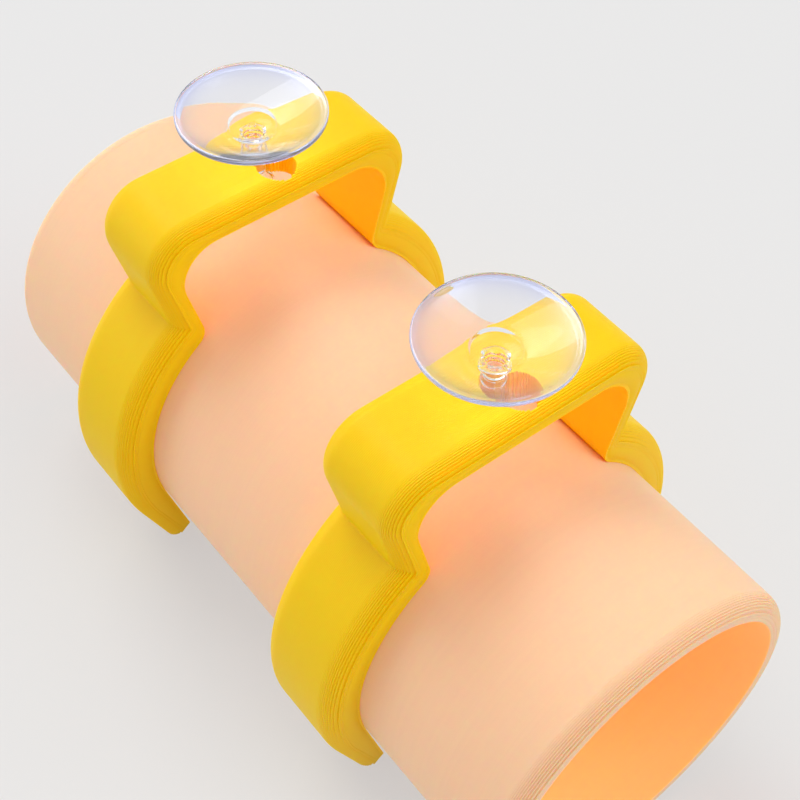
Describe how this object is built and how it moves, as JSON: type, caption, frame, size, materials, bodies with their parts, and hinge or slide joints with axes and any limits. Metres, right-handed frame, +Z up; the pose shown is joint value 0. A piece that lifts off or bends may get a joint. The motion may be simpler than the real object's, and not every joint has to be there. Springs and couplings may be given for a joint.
{
  "type": "suction cup tube holder",
  "caption": "Plastic tube gripped by omega clips, each with a clear suction cup in a keyhole, so the tube hangs level under or against a glass pane.",
  "frame": {"origin": "middle of the tube's bore, on its axis", "axes": "+X along the tube, from the far clip to the near clip; +Z up, towards the pane the suction cups hold on to; +Y across the tube"},
  "size_m": [0.115, 0.0602, 0.0733],
  "materials": {
    "tube_plastic": "matte, printed in fine layers",
    "clip_plastic": "satin, printed in fine layers",
    "cup_vinyl": "clear soft vinyl"
  },
  "bodies": {
    "tube": {"tube": "tube_plastic"},
    "clip_far": {"clip_far": "clip_plastic"},
    "clip_near": {"clip_near": "clip_plastic"},
    "cup_far": {"cup_far": "cup_vinyl"},
    "cup_near": {"cup_near": "cup_vinyl"}
  },
  "joints": [
    {"name": "clip_far_turn", "type": "hinge", "parent": "tube", "child": "clip_far", "pos_m": [-0.0255, 0, 0], "axis": [1, 0, 0], "continuous": true},
    {"name": "clip_near_turn", "type": "hinge", "parent": "tube", "child": "clip_near", "pos_m": [0.0235, 0, 0], "axis": [1, 0, 0], "continuous": true},
    {"name": "cup_far_keyhole", "type": "slide", "parent": "clip_far", "child": "cup_far", "axis": [0.9272, 0.3746, 0], "range_m": [0, 0.0034]},
    {"name": "cup_near_keyhole", "type": "slide", "parent": "clip_near", "child": "cup_near", "axis": [0.9272, 0.3746, 0], "range_m": [0, 0.0034]}
  ]
}
